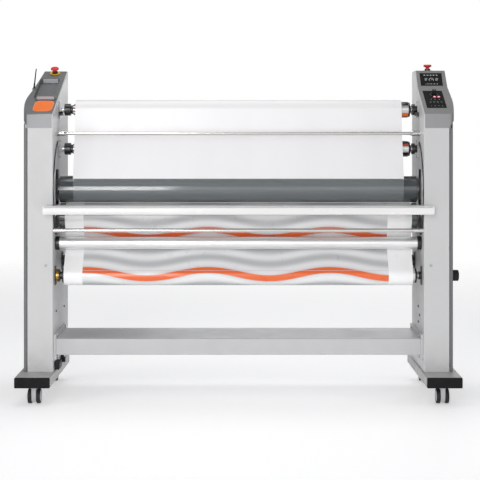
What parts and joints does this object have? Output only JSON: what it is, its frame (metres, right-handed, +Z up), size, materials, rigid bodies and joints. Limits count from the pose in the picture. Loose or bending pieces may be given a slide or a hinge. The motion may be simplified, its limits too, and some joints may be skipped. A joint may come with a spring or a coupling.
{
  "type": "cold roll laminator",
  "caption": "Floor-standing wide-format cold roll laminator with film, print and liner shafts between two columns on castors.",
  "frame": {"origin": "on the floor, midway between the feet (the bottom centre of the bounding box)", "axes": "+X to the operator's right, along the rollers; +Y from the feed side to the back; +Z up"},
  "size_m": [2.008, 0.661, 1.544],
  "materials": {
    "frame_grey": "satin",
    "cover_grey": "satin",
    "foot_grey": "satin",
    "beam_grey": "satin",
    "dark_metal": "satin",
    "nose_white": "satin",
    "bright_steel": "satin",
    "aluminium": "satin",
    "gear_grey": "matte",
    "roller_rubber": "satin",
    "black_plastic": "matte",
    "grey_plastic": "matte",
    "tyre_black": "matte",
    "console_dark": "satin",
    "console_light": "satin",
    "console_mid": "satin",
    "mat_orange": "matte",
    "screen_black": "gloss",
    "stop_red": "gloss",
    "button_pink": "gloss",
    "film_white": "satin",
    "print_paper": "satin"
  },
  "bodies": {
    "root": {"feet": "foot_grey", "foot_end_caps": "black_plastic", "left_side_frame": "frame_grey", "right_side_frame": "frame_grey", "side_covers": "cover_grey", "lower_bearing_blocks": "dark_metal", "lift_cylinders": "aluminium", "roller_guides": "dark_metal", "gear_motor": "gear_grey", "shaft_saddles": "bright_steel", "guide_bars": "bright_steel", "bar_end_fittings": "bright_steel", "feed_table": "frame_grey", "table_nose": "nose_white", "table_nose_caps": "nose_white", "table_arms": "dark_metal", "crossbar": "beam_grey", "frame_fasteners": "bright_steel", "left_console": "console_dark", "tool_mat": "mat_orange", "left_console_base": "console_light", "right_console": "console_mid", "display_screen": "screen_black", "control_panel": "black_plastic", "estop_collars": "black_plastic", "service_inlets": "black_plastic", "print_web": "print_paper", "film_web": "film_white"},
    "roller_carriage": {"upper_bearing_blocks": "dark_metal"},
    "upper_roller": {"upper_roller_sleeve": "roller_rubber", "upper_roller_core": "bright_steel"},
    "lower_roller": {"lower_roller_sleeve": "roller_rubber", "lower_roller_core": "bright_steel"},
    "supply_assembly": {"supply_shaft": "aluminium", "supply_roll": "film_white", "supply_collars": "dark_metal"},
    "rewind_assembly": {"rewind_shaft": "aluminium", "rewind_roll": "film_white", "rewind_collars": "dark_metal"},
    "unwind_assembly": {"unwind_shaft": "aluminium", "unwind_roll": "print_paper", "unwind_collars": "dark_metal"},
    "takeup_assembly": {"takeup_shaft": "aluminium", "takeup_roll": "print_paper"},
    "idler": {"idler_tube": "aluminium"},
    "castor_front_left": {"castor_hood_front_left": "grey_plastic"},
    "wheels_front_left": {"castor_wheels_front_left": "tyre_black"},
    "castor_front_right": {"castor_hood_front_right": "grey_plastic"},
    "wheels_front_right": {"castor_wheels_front_right": "tyre_black"},
    "castor_back_left": {"castor_hood_back_left": "grey_plastic"},
    "wheels_back_left": {"castor_wheels_back_left": "tyre_black"},
    "castor_back_right": {"castor_hood_back_right": "grey_plastic"},
    "wheels_back_right": {"castor_wheels_back_right": "tyre_black"},
    "left_estop": {"left_estop_button": "stop_red"},
    "right_estop": {"right_estop_button": "stop_red"},
    "speed_dial": {"speed_knob": "black_plastic"},
    "start_key": {"start_button": "button_pink"},
    "stop_key": {"stop_button": "button_pink"},
    "tension_dial": {"tension_knob": "black_plastic"},
    "antenna_whip": {"antenna": "black_plastic"}
  },
  "joints": [
    {"name": "roller_lift", "type": "slide", "parent": "root", "child": "roller_carriage", "axis": [0, 0, 1], "range_m": [0, 0.035]},
    {"name": "upper_roller_spin", "type": "hinge", "parent": "roller_carriage", "child": "upper_roller", "pos_m": [0, -0.039, 0.9525], "axis": [1, 0, 0], "continuous": true},
    {"name": "lower_roller_spin", "type": "hinge", "parent": "root", "child": "lower_roller", "pos_m": [0, -0.039, 0.8255], "axis": [1, 0, 0], "continuous": true},
    {"name": "supply_spin", "type": "hinge", "parent": "root", "child": "supply_assembly", "pos_m": [0, 0.015, 1.324], "axis": [1, 0, 0], "continuous": true},
    {"name": "rewind_spin", "type": "hinge", "parent": "root", "child": "rewind_assembly", "pos_m": [0, 0.015, 1.14], "axis": [1, 0, 0], "continuous": true},
    {"name": "unwind_spin", "type": "hinge", "parent": "root", "child": "unwind_assembly", "pos_m": [0, -0.104, 0.558], "axis": [1, 0, 0], "continuous": true},
    {"name": "takeup_spin", "type": "hinge", "parent": "root", "child": "takeup_assembly", "pos_m": [0, 0.115, 0.605], "axis": [1, 0, 0], "continuous": true},
    {"name": "idler_spin", "type": "hinge", "parent": "root", "child": "idler", "pos_m": [0, -0.089, 0.706], "axis": [1, 0, 0], "continuous": true},
    {"name": "castor_swivel_front_left", "type": "hinge", "parent": "root", "child": "castor_front_left", "pos_m": [-0.9155, -0.262, 0.081], "axis": [0, 0, 1], "continuous": true},
    {"name": "castor_roll_front_left", "type": "hinge", "parent": "castor_front_left", "child": "wheels_front_left", "pos_m": [-0.9155, -0.246, 0.033], "axis": [1, 0, 0], "continuous": true},
    {"name": "castor_swivel_front_right", "type": "hinge", "parent": "root", "child": "castor_front_right", "pos_m": [0.9155, -0.262, 0.081], "axis": [0, 0, 1], "continuous": true},
    {"name": "castor_roll_front_right", "type": "hinge", "parent": "castor_front_right", "child": "wheels_front_right", "pos_m": [0.9155, -0.246, 0.033], "axis": [1, 0, 0], "continuous": true},
    {"name": "castor_swivel_back_left", "type": "hinge", "parent": "root", "child": "castor_back_left", "pos_m": [-0.9155, 0.262, 0.081], "axis": [0, 0, 1], "continuous": true},
    {"name": "castor_roll_back_left", "type": "hinge", "parent": "castor_back_left", "child": "wheels_back_left", "pos_m": [-0.9155, 0.278, 0.033], "axis": [1, 0, 0], "continuous": true},
    {"name": "castor_swivel_back_right", "type": "hinge", "parent": "root", "child": "castor_back_right", "pos_m": [0.9155, 0.262, 0.081], "axis": [0, 0, 1], "continuous": true},
    {"name": "castor_roll_back_right", "type": "hinge", "parent": "castor_back_right", "child": "wheels_back_right", "pos_m": [0.9155, 0.278, 0.033], "axis": [1, 0, 0], "continuous": true},
    {"name": "left_estop_press", "type": "slide", "parent": "root", "child": "left_estop", "axis": [0, -0.4067, 0.9136], "range_m": [-0.005, 0], "stiffness_N_per_m": 2000, "springref_m": 0.001},
    {"name": "right_estop_press", "type": "slide", "parent": "root", "child": "right_estop", "axis": [0, 0, 1], "range_m": [-0.005, 0], "stiffness_N_per_m": 2000, "springref_m": 0.001},
    {"name": "speed_knob_turn", "type": "hinge", "parent": "root", "child": "speed_dial", "pos_m": [0.914, -0.018, 1.39548], "axis": [0, -0.4957, 0.8685], "range_deg": [-135, 135]},
    {"name": "start_press", "type": "slide", "parent": "root", "child": "start_key", "axis": [0, -0.4957, 0.8685], "range_m": [-0.002, 0], "stiffness_N_per_m": 2000, "springref_m": 0.001},
    {"name": "stop_press", "type": "slide", "parent": "root", "child": "stop_key", "axis": [0, -0.4957, 0.8685], "range_m": [-0.002, 0], "stiffness_N_per_m": 2000, "springref_m": 0.001},
    {"name": "tension_knob_turn", "type": "hinge", "parent": "root", "child": "tension_dial", "pos_m": [0.9955, -0.104, 0.558], "axis": [1, 0, 0], "range_deg": [-720, 720]},
    {"name": "antenna_tilt", "type": "hinge", "parent": "root", "child": "antenna_whip", "pos_m": [-0.975, 0.1, 1.42941], "axis": [0, 1, 0], "range_deg": [-60, 60]}
  ],
  "couplings": [
    {"joint": "upper_roller_spin", "follows": "lower_roller_spin", "ratio": -1}
  ]
}
